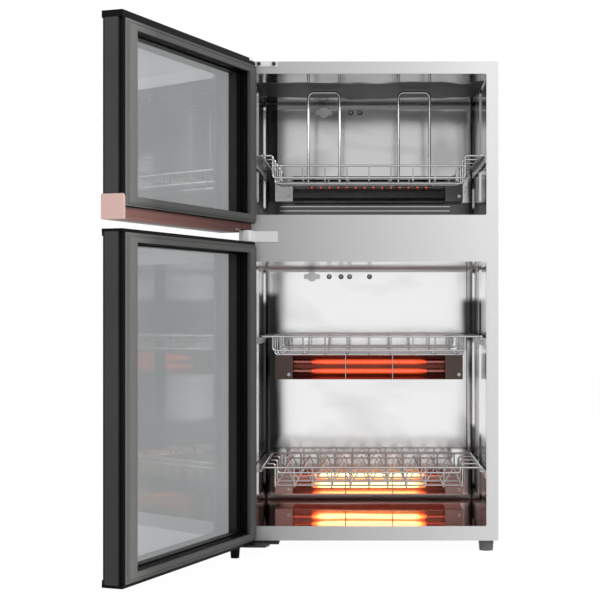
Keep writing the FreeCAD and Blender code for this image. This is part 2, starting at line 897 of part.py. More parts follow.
def rack_supports(name, hanger):
    """A pair of ledges on the side walls, which a rack's hanger bars lie on."""
    body = new_body(f"{name}_supports")
    top = hanger - s.hanger_radius - s.rack_play
    wall, sheet = opening_half, s.support_sheet
    for side, width in ((-1, s.support_hinge_width), (1, s.support_width)):
        profile = [
            (wall, top - s.support_height), (wall, top), (wall - width, top),
            (wall - width, top - sheet), (wall - sheet, top - sheet),
            (wall - sheet, top - s.support_height),
        ]
        shape = outline(*[(x * side, z) for x, z in profile])
        pad(body, "XZ", s.support_start, liner_back - s.support_rear_gap, shape)


# A rack's hinge side stands further in than its free side, so that it passes the open doors' seals.
hinge_hanger = s.rack_hinge_gap + s.hanger_radius - opening_half
free_hanger = opening_half - s.rack_side_gap - s.hanger_radius
rack_x = free_hanger - s.hanger_overhang
rack_back = liner_back - s.heater_depth - s.rack_rear_gap


def cradle(body, y, low, radius):
    """A bar that hangs from both hanger bars and dips to carry the basket."""
    return bar(
        body, "XZ", y, radius, s.wire_bend,
        (hinge_hanger, 0), (-rack_x, 0), (-rack_x, -low),
        (rack_x, -low), (rack_x, 0), (free_hanger, 0),
    )


rack_middle = (s.rack_front + rack_back) / 2
rack_ends = (s.rack_front, rack_back)


def hanger_bars(name):
    """The first node of a rack: the bars along both sides that slide on the supports."""
    body = new_body(f"{name}_rails", z=hanger_rises[name])
    overlap = s.hanger_radius * 2
    pad(
        body, "XZ", s.rack_front - overlap, rack_back + overlap,
        *[disc(x, 0, s.hanger_radius) for x in (hinge_hanger, free_hanger)],
    )
    return body


def level_rails(body, left, right, drop, radius):
    """The straight rails across a rack's front and back."""
    pad(body, "YZ", left, right, *[disc(y, -drop, radius) for y in rack_ends])


cradle_step = (rack_back - s.rack_front) / (s.cradle_count + 1)
under_wires = s.wire_radius + s.rail_radius - s.weld


def cradles(name, basket):
    """Three inner cradles, which carry the basket wires from below."""
    body = new_body(f"{name}_cradles", z=hanger_rises[name])
    first = cradle(body, s.rack_front + cradle_step, basket + under_wires, s.rail_radius)
    repeat_along(body, first, "H_Axis", cradle_step * (s.cradle_count - 1), s.cradle_count)
    return body


def low_rails(body, drop, inset):
    """The second rail below the first at the front and back, turned up at its ends."""
    x = rack_x - inset
    for y in rack_ends:
        ends = [(-x, 0), (-x, -drop), (x, -drop), (x, 0)]
        bar(body, "XZ", y, s.low_rail_radius, s.wire_bend, *ends)


def basket_wires(name, basket, pitch, count):
    """A row of wires that run down from the front rail, back, and up to the rear rail."""
    body = new_body(f"{name}_wires", z=hanger_rises[name])
    front, back = rack_ends
    span = pitch * (count - 1)
    wire = bar(
        body, "YZ", -span / 2, s.wire_radius, s.wire_bend,
        (front, 0), (front, -basket), (back, -basket), (back, 0),
    )
    repeat_along(body, wire, "H_Axis", span, count)
    return body


def upper_rack():
    """A basket whose floor rises to the rear, under two tall loops."""
    name, rail, slope = "upper_rack", s.upper_rail_drop, s.upper_basket_slope
    level_rails(hanger_bars(name), -rack_x, rack_x, rail, s.low_rail_radius)

    carriers = new_body(f"{name}_cradles", z=hanger_rises[name])
    cradle(carriers, s.rack_front, s.upper_low_drop, s.rail_radius)
    cradle(carriers, rack_back, s.upper_low_drop - slope, s.rail_radius)
    for place_in_row in (1, 2, 3):
        low = s.upper_basket_drop - slope * place_in_row / 4 + under_wires
        cradle(carriers, s.rack_front + cradle_step * place_in_row, low, s.rail_radius)

    wires = new_body(f"{name}_wires", z=hanger_rises[name])
    front, back = rack_ends
    low, high = -s.upper_basket_drop, slope - s.upper_basket_drop
    span = s.basket_pitch * (s.basket_count - 1)
    wire = bar(
        wires, "YZ", -span / 2, s.wire_radius, None,
        (front, -rail), (front, low), (back, high), (back, -rail),
    )
    repeat_along(wires, wire, "H_Axis", span, s.basket_count)

    thick = s.loop_radius
    top = upper_ceiling - hanger_rises[name] - s.loop_headroom - thick
    foot_z = (low + high) / 2 - s.wire_radius - s.rail_radius * 2
    y = rack_middle + thick + s.rail_radius - s.weld
    for side in (-1, 1):
        near_x, far_x = s.loop_inner * side, s.loop_outer * side
        ends = [(near_x, foot_z), (near_x, top), (far_x, top), (far_x, foot_z)]
        bar(wires, "XZ", y, thick, s.loop_bend, *ends)


def bowl_rack():
    """A shallow basket for bowls."""
    name, basket = "bowl_rack", s.bowl_basket_drop
    level_rails(hanger_bars(name), hinge_hanger, free_hanger, size(0), s.rail_radius)
    low_rails(cradles(name, basket), s.bowl_low_drop, size(0))
    basket_wires(name, basket, s.basket_pitch, s.basket_count)


def plate_rack():
    """A basket with three rows of slanted dividers that hold plates on edge."""
    name, basket, pitch, count = "plate_rack", s.plate_basket_drop, s.plate_pitch, s.plate_count
    level_rails(hanger_bars(name), hinge_hanger, free_hanger, size(0), s.rail_radius)
    low_rails(cradles(name, basket), s.plate_low_drop, s.wire_bend * 2)
    basket_wires(name, basket, pitch, count)

    body = new_body(f"{name}_dividers", z=hanger_rises[name])
    low = s.wire_radius * 2 - s.weld - basket
    start = -pitch * (count - 1) / 2
    ends = [(start - s.wire_radius, low)]
    for i in range(int(count.number) - 1):
        ends += [(start + pitch * i, low), (start + pitch * i + s.divider_lean, -s.rail_radius)]
    ends += [(-start, low)]
    apart = (rack_back - s.rack_front) * s.divider_spread
    divider = bar(body, "XZ", rack_middle - apart / 2, s.wire_radius, None, *ends)
    repeat_along(body, divider, "H_Axis", apart, s.divider_rows)


# ---------------------------------------------------------------- doors
def ring(edges, inner):
    """An outer and an inner rectangle, each left, right, low and high."""
    return box(*edges), box(*inner)


def shrink(edges, side, end=None):
    """A rectangle moved in by side at the left and right, and by end below and above."""
    end = side if end is None else end
    left, right, low, high = edges
    return left + side, right - side, low + end, high - end


def door(name, low, height, foot_height, head_height, glass_low):
    """A door's frame, glass, inner frame and gasket; its own origin is on the pin, at its foot."""
    where = {"x": pin_x, "y": pin_y, "z": low, "turn": s.open_angle}
    frame_edges = (hinge_side, free_side, foot_height, height - head_height)
    inner_edges = shrink(frame_edges, s.inner_frame_inset, 0)
    gasket_edges = shrink(frame_edges, s.gasket_inset, s.gasket_end_inset)
    gasket_hole = shrink(gasket_edges, s.gasket_side, s.gasket_end)
    recess = shrink(gasket_hole, s.recess_margin)
    sleeve = shrink(recess, -s.recess_wall)
    window = shrink(recess, s.recess_ledge, s.recess_end_ledge)

    frame = new_body(f"{name}_frame", **where)
    pad(frame, "XZ", layer_glass, layer_frame, *ring(frame_edges, window))
    pocket(frame, "XZ", layer_ledge, layer_frame, box(*sleeve))
    socket = s.pin_radius + s.pin_socket_play
    pocket(frame, "XY", foot_height, foot_height + s.pin_reach * 2, disc(0, 0, socket))
    top = height - head_height
    pocket(frame, "XY", top - s.pin_reach * 2, top, disc(0, 0, socket))

    inner = new_body(f"{name}_inner_frame", **where)
    pad(inner, "XZ", layer_frame, layer_inner, *ring(inner_edges, recess))
    pad(inner, "XZ", layer_ledge, layer_frame, *ring(sleeve, recess))
    floor = layer_ledge + s.recess_wall
    pad(inner, "XZ", layer_ledge, floor, *ring(shrink(sleeve, s.recess_wall / 2), window))

    gasket = new_body(f"{name}_gasket", **where)
    crown = layer_inner + s.gasket_base
    pad(gasket, "XZ", layer_inner, crown, *ring(gasket_edges, gasket_hole))
    crown_edges = shrink(gasket_edges, s.gasket_step)
    pad(gasket, "XZ", crown, layer_gasket, *ring(crown_edges, gasket_hole))
    groove = shrink(crown_edges, s.gasket_step / 2)
    cut = ring(groove, shrink(groove, s.gasket_groove))
    pocket(gasket, "XZ", layer_gasket - s.gasket_groove, layer_gasket, *cut)

    pane = new_body(f"{name}_glass", **where)
    edge = s.trim_end_sheet / 2
    pad(
        pane, "XZ", layer_front, layer_glass,
        box(hinge_side + edge, free_side - edge, glass_low, height - head_height),
    )
    round_edges(
        pane, s.glass_corner,
        lambda e: runs_along(e, "z") and near(middle_of(e).y, layer_front),
    )
    return where


def cap_plate(name, where, start, end):
    """The plate across a door's end, with the pin's hole; its free corners are nearly square."""
    cap = new_body(name, **where)
    pad(
        cap, "XY", start, end,
        box(hinge_side, free_side, layer_cap, layer_inner),
        disc(0, 0, s.pin_radius + s.pin_play),
    )
    for side, corner in ((hinge_side, s.cap_corner), (free_side, s.cap_free_corner)):
        round_edges(cap, corner, lambda e: runs_along(e, "z") and near(middle_of(e).x, side))
    return cap


def door_cap(name, where, start, end, lip_start, lip_end):
    """A lower door's end cap: a plate across the door's end and a lip in front of the glass."""
    cap = cap_plate(name, where, start, end)
    left, right = hinge_side + s.cap_corner, free_side - s.cap_free_corner
    pad(cap, "XY", lip_start, lip_end, box(left, right, layer_cap, layer_front))


def upper_door_ends(where):
    """The top cap with its notch for the hinge arm, and the handle trim along the bottom."""
    height = upper_door_height
    cap = cap_plate("upper_door_top_cap", where, height - s.cap_height, height)
    notch = s.bracket_arm + s.arm_play
    clear = s.bracket_half + s.arm_play * 3
    pocket(
        cap, "XY", height - notch, height,
        box(hinge_side * 2, clear, layer_cap * 2, layer_inner * 2),
    )

    web = layer_inner - s.trim_web_inset
    above = [
        (web, s.trim_shelf), (layer_glass, s.trim_shelf), (layer_glass, s.trim_height),
        (layer_cap, s.trim_height),
    ]
    lipped = [(layer_cap, 0), (layer_inner, 0), (layer_inner, s.trim_lip), (web, s.trim_lip)]
    wall = s.trim_wall
    hollow = box(layer_cap + wall, web - wall, wall, s.trim_shelf - wall)
    joint = hinge_side + s.trim_hinge_length
    trim = new_body("upper_door_trim", **where)
    pad(trim, "YZ", joint, free_side, outline(*lipped, *above), hollow)

    rise = s.trim_hinge_rise
    hinge_end = new_body("upper_door_trim_hinge_end", **where)
    pad(hinge_end, "YZ", hinge_side, joint, outline((layer_cap, rise), (web, rise), *above))
    socket = s.pin_radius + s.pin_play
    pocket(hinge_end, "XY", rise, rise + s.pin_reach * 2, disc(0, 0, socket))
    round_edges(
        hinge_end, s.cap_corner,
        lambda e: runs_along(e, "z")
        and near(middle_of(e).x, hinge_side)
        and near(middle_of(e).y, web, layer_cap),
    )

    free_end = new_body("upper_door_trim_free_end", **where)
    outside, lap = free_side + s.trim_end_sheet, layer_inner + s.trim_end_lap
    pad(
        free_end, "XY", 0, s.trim_height,
        outline(
            (free_side, layer_cap), (outside, layer_cap), (outside, lap),
            (outside - s.trim_end_flange, lap), (outside - s.trim_end_flange, layer_inner),
            (free_side, layer_inner),
        ),
    )
    round_edges(
        free_end, s.cap_corner,
        lambda e: runs_along(e, "y")
        and near(middle_of(e).x, outside - s.trim_end_flange)
        and near(middle_of(e).z, s.trim_height),
    )


door_foot_reach = s.bottom_bracket_nose + s.door_foot_gap + s.door_foot_radius


def lower_door_ends(where):
    """Both end caps, and the foot that carries the open door."""
    height, sheet, lip = lower_door_height, s.cap_sheet, s.cap_lip
    door_cap("lower_door_bottom_cap", where, 0, sheet, 0, lip)
    door_cap("lower_door_top_cap", where, height - sheet, height, height - lip, height)

    body = new_body("lower_door_foot", **where)
    middle = layer_inner - s.door_foot_radius - s.door_foot_lift / 2
    tall = lower_door_low - s.door_foot_lift
    radius = s.door_foot_radius
    taper(body, door_foot_reach, middle, -tall, radius - s.door_foot_taper, 0, radius)


# ---------------------------------------------------------------- hinges
arm_y = pin_y - s.bracket_half
bracket_left = pin_x - s.bracket_half


def bracket_plate(body, low, high, screw_x):
    """The upright plate against the face frame, with its screw holes."""
    pad(
        body, "XZ", -s.bracket_sheet, 0,
        box(bracket_left + s.bracket_inset, bracket_left + s.bracket_length, low, high),
        *[disc(x, (low + high) / 2, s.screw_radius) for x in screw_x],
    )


def bracket_arm(body, low, high):
    """The flat arm that reaches forward to the pin."""
    pad(
        body, "XY", low, high,
        box(bracket_left, pin_x + s.bracket_half, arm_y, 0),
        disc(pin_x, pin_y, s.pin_radius),
    )
    round_edges(
        body, s.bracket_corner,
        lambda e: runs_along(e, "z") and near(middle_of(e).y, arm_y),
    )


bracket_screw = bracket_left + s.bracket_screw
bracket_screw_x = [bracket_screw, bracket_screw + s.bracket_screw_pitch]
top_plate_low = lid - s.top_bracket_height
middle_low = split + s.middle_bracket_lift - s.middle_bracket_height / 2
bottom_arm_high = lower_door_low - s.bottom_bracket_gap
bottom_arm_low = bottom_arm_high - s.bracket_arm
bottom_screw_x = [pin_x + s.bottom_screw, pin_x + s.bottom_screw + s.bottom_screw_pitch]


def hinge_brackets():
    """Three brackets: flush with the top, a solid block between the doors, and under the body."""
    top = new_body("top_hinge_bracket")
    bracket_plate(top, top_plate_low, lid, bracket_screw_x)
    bracket_arm(top, lid - s.bracket_arm, lid)

    middle = new_body("middle_hinge_bracket")
    bracket_plate(middle, middle_low, middle_low + s.middle_bracket_height, [])
    bracket_arm(middle, middle_low, middle_low + s.middle_bracket_height)

    bottom = new_body("bottom_hinge_bracket")
    left, right = pin_x - s.bracket_half, pin_x + s.bottom_bracket_reach
    nose = pin_x + s.bottom_bracket_nose
    front, back, step = pin_y - s.bottom_bracket_front, s.bottom_bracket_back, -s.bottom_bracket_step
    bevel = s.bracket_half / 2
    holes = [disc(x, back / 2, s.screw_radius) for x in bottom_screw_x]
    pad(
        bottom, "XY", bottom_arm_low, bottom_arm_high,
        outline(
            (left, back), (left, pin_y - s.bracket_half), (left + bevel * 2, front),
            (nose - bevel, front), (nose, pin_y), (nose, step), (right, step), (right, back),
        ),
        disc(pin_x, pin_y, s.pin_radius),
        *holes,
    )
    pad(bottom, "XY", bottom_arm_high, underside, box(left, right, s.bracket_sheet, back), *holes)


def hinge_pins():
    """A turned pin in each bracket; the middle one stands out both ways."""
    spans = [
        (lid - s.bracket_arm - s.arm_play - s.pin_reach, lid),
        (
            lower_door_low + lower_door_height - s.cap_sheet * 1.5 - s.pin_reach / 2,
            upper_door_low + s.trim_hinge_rise + s.pin_reach,
        ),
        (bottom_arm_low, lower_door_low + s.cap_sheet + s.pin_reach / 2),
    ]
    body = new_body("hinge_pins", x=pin_x, y=pin_y)
    for low, high in spans:
        pad(body, "XY", low, high, disc(0, 0, s.pin_radius))


def hinge_screws():
    """Two screws in the top bracket's plate, and two up through the bottom bracket."""
    body = new_body("hinge_screws")
    spots = [(x, (top_plate_low + lid) / 2) for x in bracket_screw_x]
    sheet, head = s.bracket_sheet, s.screw_head
    pad(body, "XZ", -sheet, 0, *[disc(x, z, s.screw_radius) for x, z in spots])
    pad(body, "XZ", -sheet - head, -sheet, *[disc(x, z, s.screw_head_radius) for x, z in spots])
    below = [(x, s.bottom_bracket_back / 2) for x in bottom_screw_x]
    pad(body, "XY", bottom_arm_low, underside, *[disc(x, y, s.screw_radius) for x, y in below])
    pad(
        body, "XY", bottom_arm_low - head, bottom_arm_low,
        *[disc(x, y, s.screw_head_radius) for x, y in below],
    )


# ---------------------------------------------------------------- the whole cabinet
def build():
    casing()
    face_frame()
    base_plate()
    rear_cover()
    liner("upper_liner", upper_floor, upper_ceiling)
    liner("lower_liner", lower_floor, lower_ceiling)
    control_board()
    ozone_generator()
    cord_inlet()
    feet()

    heater_floors = {
        "upper_heater": upper_floor + s.upper_heater_rise,
        "middle_heater": lower_floor + s.middle_heater_rise,
        "lower_heater": lower_floor + s.lower_heater_rise,
    }
    centre = s.heater_height / 2
    pair = [centre - s.tube_offset, centre + s.tube_offset]
    for name, floor in heater_floors.items():
        beaded = name == "upper_heater"
        heater(name, floor, [centre + s.upper_tube_lift] if beaded else pair, beaded)
    heater_screws(heater_floors.values())
    thermostat("upper_thermostat", s.upper_thermostat_offset, upper_ceiling)
    thermostat("lower_thermostat", s.lower_thermostat_offset, lower_ceiling)

    for name, hanger in hanger_rises.items():
        rack_supports(name, hanger)
    upper_rack()
    bowl_rack()
    plate_rack()

    hinge_brackets()
    hinge_pins()
    hinge_screws()
    upper_door_ends(
        door(
            "upper_door", upper_door_low, upper_door_height, s.trim_shelf, s.cap_height, s.trim_height
        )
    )
    lower_door_ends(
        door(
            "lower_door", lower_door_low, lower_door_height, s.cap_sheet, s.cap_sheet, s.cap_sheet
        )
    )


def check():
    """Stop if any object failed, or any sub-part is empty or invalid."""
    document.recompute()
    failed = [o.Name for o in document.Objects if {"Invalid", "Error"} & set(o.State)]
    bad = [p.Label for p in parts if p.Shape.isNull() or not p.Shape.isValid()]
    if failed or bad:
        raise RuntimeError(f"failed objects: {failed}; bad shapes: {bad}")


def write():
    """One STEP file for each sub-part."""
    os.makedirs("parts", exist_ok=True)
    for part in parts:
        part.Shape.exportStep(f"parts/{part.Label}.step")


build()
check()
write()
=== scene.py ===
import json
import math

import bpy
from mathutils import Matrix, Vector


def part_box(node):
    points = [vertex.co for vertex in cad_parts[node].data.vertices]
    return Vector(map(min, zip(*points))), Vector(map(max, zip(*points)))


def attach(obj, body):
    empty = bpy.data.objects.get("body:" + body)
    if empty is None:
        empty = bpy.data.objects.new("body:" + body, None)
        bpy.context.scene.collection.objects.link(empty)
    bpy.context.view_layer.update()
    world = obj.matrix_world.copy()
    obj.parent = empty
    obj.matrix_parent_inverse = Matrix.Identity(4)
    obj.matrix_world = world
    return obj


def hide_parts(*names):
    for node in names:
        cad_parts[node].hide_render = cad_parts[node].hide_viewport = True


# A dish sterilizer cabinet with its doors open, in soft studio light on a pale floor.
# Lengths are in metres, in the CAD model's frame: +X right, +Y into the cabinet, +Z up.

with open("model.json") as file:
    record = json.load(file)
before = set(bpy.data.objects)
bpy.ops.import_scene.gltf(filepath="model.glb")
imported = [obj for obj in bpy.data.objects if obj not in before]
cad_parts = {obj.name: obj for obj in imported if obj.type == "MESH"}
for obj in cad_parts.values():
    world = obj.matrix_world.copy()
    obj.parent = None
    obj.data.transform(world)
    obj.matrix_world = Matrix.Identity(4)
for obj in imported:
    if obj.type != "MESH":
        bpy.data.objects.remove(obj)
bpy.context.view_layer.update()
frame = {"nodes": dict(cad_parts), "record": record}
nodes = frame["nodes"]

# The face frame's plane, the hinge line and how far the doors stand open.
FACE_Y = -0.1825
PIN = Vector((-0.198, -0.2005, 0.0))
OPEN_ANGLE = math.radians(110.7)
DOOR_ALONG = Vector((math.cos(OPEN_ANGLE), -math.sin(OPEN_ANGLE), 0.0))

# The window that the black print leaves free: along the door from the hinge line, and inward
# from the door frame's top and bottom.
PRINT_SIDES = (0.0290, 0.3670)
PRINT_EDGE = 0.0147

# The liners: depths count from the face frame, the rest are X and Z in the cabinet.
FAR = 9.0
CEILING_UPPER, FLOOR_UPPER = 0.7725, 0.5490
CEILING_LOWER, FLOOR_LOWER = 0.4700, 0.0424
RACK_UPPER = 0.6400
SIDE, BACK = 0.1885, 0.3370
LEFT, RIGHT = (-FAR, -SIDE), (SIDE, FAR)
FRONT_EDGE, PANEL_FRONT = (0.0, 0.0160), (0.0160, 0.1540)
PANEL_GAP, PANEL_REAR = (0.1540, 0.1796), (0.1796, BACK)
REAR_WALL = (BACK, FAR)
REAR_RIGHT, REAR_LEFT = (0.1730, FAR), (-FAR, -0.1700)
CEILING_BAND = (0.085, 0.265)
REFLECTOR = (-0.165, 0.150)
COVE_DEPTH, COVE_HEIGHT, COVE_SIDE = 0.3325, 0.0072, 0.1833
ZONE_FADE = 0.007

# Heaters: half the lengths that glow, and the spacing of the upper heater's beads.
TUBE_LIT, COIL_LIT, BEADS_LIT = 0.130, 0.115, 0.111
BEAD_PITCH, BEAD_HALF = 0.0162, 0.0022

# The screws beside the switches, and how far the cover's screws stand from its edges.
UPPER_SCREWS_X = (-0.034, -0.017)
LOWER_SCREWS_X = (-0.074, -0.052, -0.036, 0.001)
COVER_INSET, COVER_ROWS = 0.009, 5

# Edges sharper than this are rounded off.
SHARP = math.radians(50)

# The floor's and the world's light, and the camera.
FLOOR_GLOW, FLOOR_SHARE = 1.04, 0.93
WORLD_DIFFUSE = 0.40
CAMERA_DISTANCE, CAMERA_HEIGHT = 2.324, 0.3887
CAMERA_LENS, CAMERA_SHIFT = 85.98, (-0.115, 0.02)


# ---------------------------------------------------------------- node helpers
def graph(name):
    """A new material, its node tree and its Principled shader."""
    material = bpy.data.materials.new(name)
    material.use_nodes = True
    tree = material.node_tree
    return material, tree, tree.nodes["Principled BSDF"]


def add(tree, kind, inputs=None, **settings):
    """A node with its settings, and its inputs given as values or as other nodes' outputs."""
    node = tree.nodes.new(kind)
    for key, value in settings.items():
        setattr(node, key, value)
    for key, value in (inputs or {}).items():
        connect(tree, value, node.inputs[key])
    return node


def connect(tree, value, socket):
    if isinstance(value, bpy.types.NodeSocket):
        tree.links.new(value, socket)
    else:
        socket.default_value = value


def place(tree, scale=(1, 1, 1)):
    """Object coordinates, stretched."""
    coordinates = add(tree, "ShaderNodeTexCoord")
    return add(
        tree, "ShaderNodeMapping", {"Vector": coordinates.outputs["Object"], "Scale": scale}
    ).outputs["Vector"]


def axis_of(tree, where, axis):
    """One axis of a place."""
    return add(tree, "ShaderNodeSeparateXYZ", {"Vector": where}).outputs[axis]


def noise(tree, where, scale, detail=4.0, distortion=0.0):
    return add(
        tree, "ShaderNodeTexNoise",
        {"Vector": where, "Scale": scale, "Detail": detail, "Distortion": distortion},
    ).outputs["Fac"]


def ramp(tree, factor, stops):
    """A colour ramp; each stop is a place and a grey or a colour."""
    node = add(tree, "ShaderNodeValToRGB", {"Fac": factor})
    elements = node.color_ramp.elements
    while len(elements) < len(stops):
        elements.new(0.5)
    for element, (at, colour) in zip(elements, stops):
        element.position = at
        element.color = tint(colour)
    return node.outputs["Color"]


def tint(colour):
    if isinstance(colour, (int, float)):
        colour = (colour, colour, colour)
    return (*colour[:3], 1.0)


def maths(tree, operation, first, second=0.0):
    return add(tree, "ShaderNodeMath", {0: first, 1: second}, operation=operation).outputs[0]


def between(tree, factor, low, high):
    """A number that runs from low to high with the factor."""
    return add(
        tree, "ShaderNodeMapRange", {"Value": factor, "To Min": low, "To Max": high}
    ).outputs["Result"]


def within(tree, value, low, high):
    """1 where the value lies between low and high, else 0."""
    middle, reach = (low + high) / 2, (high - low) / 2
    node = add(tree, "ShaderNodeMath", {0: value, 1: middle, 2: reach}, operation="COMPARE")
    return node.outputs[0]


def fading(tree, value, low, high, edge):
    """As within, but fading from 1 to 0 across each limit."""
    middle, reach = (low + high) / 2, (high - low) / 2
    away = maths(tree, "ABSOLUTE", maths(tree, "SUBTRACT", value, middle))
    limits = {"From Min": reach - edge, "From Max": reach + edge, "To Min": 1.0, "To Max": 0.0}
    node = add(
        tree, "ShaderNodeMapRange", {"Value": away, **limits}, interpolation_type="SMOOTHSTEP"
    )
    return node.outputs["Result"]


def mix(tree, factor, first, second):
    """The first colour, or the second where the factor is 1."""
    node = add(tree, "ShaderNodeMix", data_type="RGBA")
    connect(tree, factor, node.inputs["Factor"])
    for socket, colour in ((node.inputs[6], first), (node.inputs[7], second)):
        linked = isinstance(colour, bpy.types.NodeSocket)
        connect(tree, colour if linked else tint(colour), socket)
    return node.outputs[2]


def paint(tree, colour, spots, *zones):
    """Colours laid over each other; a zone is a colour and its limits along some axes."""
    for shade, limits in zones:
        mask = 1.0
        for axis, (low, high) in limits.items():
            if axis.startswith("wavy"):
                share = fading(tree, spots[axis], low, high, ZONE_FADE)
            else:
                share = within(tree, spots[axis], low, high)
            mask = maths(tree, "MULTIPLY", mask, share)
        colour = mix(tree, mask, colour, shade)
    return colour


def bump(tree, height, strength, distance, normal=None):
    inputs = {"Height": height, "Strength": strength, "Distance": distance}
    if normal:
        inputs["Normal"] = normal
    return add(tree, "ShaderNodeBump", inputs).outputs["Normal"]


# ---------------------------------------------------------------- materials
def finish(name, dark, light, metal, rough, grain, stretch=(1, 1, 1), depth=0.00002, **more):
    """A surface whose colour, roughness and fine grain vary a little, as real ones do."""
    material, tree, shader = graph(name)
    clouds = noise(tree, place(tree), more.pop("clouds", 9.0))
    grains = noise(tree, place(tree, stretch), grain, 3.0)
    colour = ramp(tree, clouds, [(0.3, dark), (0.7, light)])
    connect(tree, colour, shader.inputs["Base Color"])
    roughness = between(tree, grains, rough[0], rough[1])
    connect(tree, roughness, shader.inputs["Roughness"])
    shader.inputs["Metallic"].default_value = metal
    connect(tree, bump(tree, grains, 0.5, depth), shader.inputs["Normal"])
    for key, value in more.items():
        shader.inputs[key].default_value = value
    return material


def liner_steel(name, low, high, zones, blurs, sway):
    """Thin polished stainless sheet: near mirror, with faint brushing and slow dents.

    The zones set its tone, mostly painted reflections, and the blurs its roughness; sway bends
    the edges of the wavy ones.
    """
    material, tree, shader = graph(name)
    where = place(tree)
    slow = noise(tree, place(tree, (0.7, 0.7, 1.6)), 6.0, 2.0, 0.5)
    base = ramp(tree, slow, [(0.30, low), (0.48, high), (0.62, high), (0.75, low)])
    parts = add(tree, "ShaderNodeSeparateXYZ", {"Vector": where}).outputs
    swell = maths(tree, "SUBTRACT", noise(tree, where, 11.0, 1.0), 0.5)
    waver = maths(tree, "MULTIPLY", swell, sway)
    depth = maths(tree, "SUBTRACT", parts["Y"], FACE_Y)
    spots = {
        "x": parts["X"],
        "y": depth,
        "z": parts["Z"],
        "wavy x": maths(tree, "ADD", parts["X"], waver),
        "wavy y": maths(tree, "ADD", depth, waver),
        "wavy z": maths(tree, "ADD", parts["Z"], waver),
    }
    connect(tree, paint(tree, base, spots, *zones), shader.inputs["Base Color"])
    brushing = noise(tree, place(tree, (6.0, 6.0, 220.0)), 14.0, 2.0)
    polish = paint(tree, between(tree, brushing, 0.08, 0.16), spots, *blurs)
    connect(tree, polish, shader.inputs["Roughness"])
    dents = bump(tree, noise(tree, where, 5.0, 1.0), 0.5, 0.004)
    fine = bump(tree, brushing, 0.12, 0.00004, dents)
    connect(tree, fine, shader.inputs["Normal"])
    shader.inputs["Metallic"].default_value = 1.0
    return material


def coves(floor, ceiling):
    """The rounded seams around the rear wall, too tight to show a clear reflection."""
    rear = {"y": (COVE_DEPTH, FAR)}
    return [
        (0.60, {**rear, "z": (ceiling - COVE_HEIGHT, FAR)}),
        (0.60, {**rear, "z": (0.0, floor + COVE_HEIGHT)}),
        (0.55, {**rear, "x": (COVE_SIDE, FAR)}),
        (0.55, {**rear, "x": (-FAR, -COVE_SIDE)}),
    ]


def upper_liner_steel(name):
    """Grey walls with painted reflections: dark bands at the panels' edges, on the ceiling and
    behind the heater, and light lines behind the reflector.
    """
    low = (0.0, RACK_UPPER)
    ceiling_reflection_band = {"z": (CEILING_UPPER, FAR), "wavy y": CEILING_BAND}
    # the rear wall behind the heater's reflector, where the painted highlight lines go
    slot = {"x": REFLECTOR, "y": REAR_WALL}
    # painted reflections: each tone below stands in for the dark and light things that the
    # mirror-like walls reflect
    zones = [
        (0.08, {"x": RIGHT, "y": FRONT_EDGE}),
        (0.34, {"x": RIGHT, "y": PANEL_FRONT}),
        (0.70, {"x": RIGHT, "y": PANEL_FRONT, "z": low}),
        (0.03, {"x": RIGHT, "y": PANEL_GAP}),
        (0.05, {"x": RIGHT, "y": PANEL_REAR}),
        (0.45, {"x": RIGHT, "y": (0.240, BACK), "z": (0.560, 0.615)}),
        (0.50, {"x": REAR_RIGHT, "y": REAR_WALL}),
        (0.80, {"x": REAR_RIGHT, "y": REAR_WALL, "z": low}),
        (0.55, {"x": LEFT, "y": PANEL_FRONT}),
        (0.02, {"x": LEFT, "y": PANEL_GAP}),
        (0.75, {"x": LEFT, "y": PANEL_REAR}),
        (0.035, {"x": REAR_LEFT, "y": REAR_WALL}),
        # painted reflections: a dark wavy band across the ceiling, and the rear wall dark below
        # the heater
        (0.09, ceiling_reflection_band),
        (0.09, {"y": REAR_WALL, "z": (0.0, 0.592)}),
        # painted highlights: two light lines on the rear wall behind the reflector
        (0.50, {**slot, "z": (0.5838, 0.5856)}),
        (0.40, {**slot, "z": (0.5756, 0.5776)}),
    ]
    blurs = coves(FLOOR_UPPER, CEILING_UPPER) + [(0.45, ceiling_reflection_band)]
    return liner_steel(name, 0.38, 0.55, zones, blurs, 0.10)


def lower_liner_steel(name):
    """Near white walls with dark patches as painted reflections, thin dark lines, a painted
    highlight along the rear wall's foot, and a floor painted red as a reflection of the heater's
    glow.
    """
    # painted reflections: the dark patches stand in for dark things that the mirror-like walls
    # reflect
    zones = [
        (0.30, {"x": RIGHT, "y": FRONT_EDGE}),
        (0.02, {"x": RIGHT, "y": PANEL_GAP}),
        (0.30, {"x": (0.1805, 0.1830), "y": REAR_WALL}),
        (0.02, {"x": LEFT, "y": PANEL_GAP}),
        (0.06, {"x": RIGHT, "wavy y": (0.040, BACK), "wavy z": (0.335, 0.410)}),
        (0.12, {"x": RIGHT, "wavy z": (0.0, 0.178)}),
        (0.10, {"wavy x": (0.1735, FAR), "y": REAR_WALL, "wavy z": (0.333, 0.412)}),
        (0.25, {"wavy x": (0.1740, FAR), "y": REAR_WALL, "wavy z": (0.0, 0.140)}),
        (0.08, {"x": LEFT, "y": PANEL_REAR, "wavy z": (0.0, 0.410)}),
        (0.07, {"wavy x": (-FAR, -0.1660), "y": REAR_WALL, "wavy z": (0.0, 0.425)}),
        # painted highlight: a light wavy line along the foot of the rear wall
        (0.90, {"y": REAR_WALL, "wavy z": (FLOOR_LOWER, FLOOR_LOWER + 0.0060)}),
        # painted reflection: the floor tinted red by the heater's glow
        ((0.62, 0.17, 0.11), {"z": (0.0, FLOOR_LOWER)}),
    ]
    glossy_floor = {"y": (0.0, COVE_DEPTH), "z": (0.0, FLOOR_LOWER)}
    blurs = coves(FLOOR_LOWER, CEILING_LOWER) + [(0.05, glossy_floor)]
    return liner_steel(name, 0.74, 0.86, zones, blurs, 0.012)


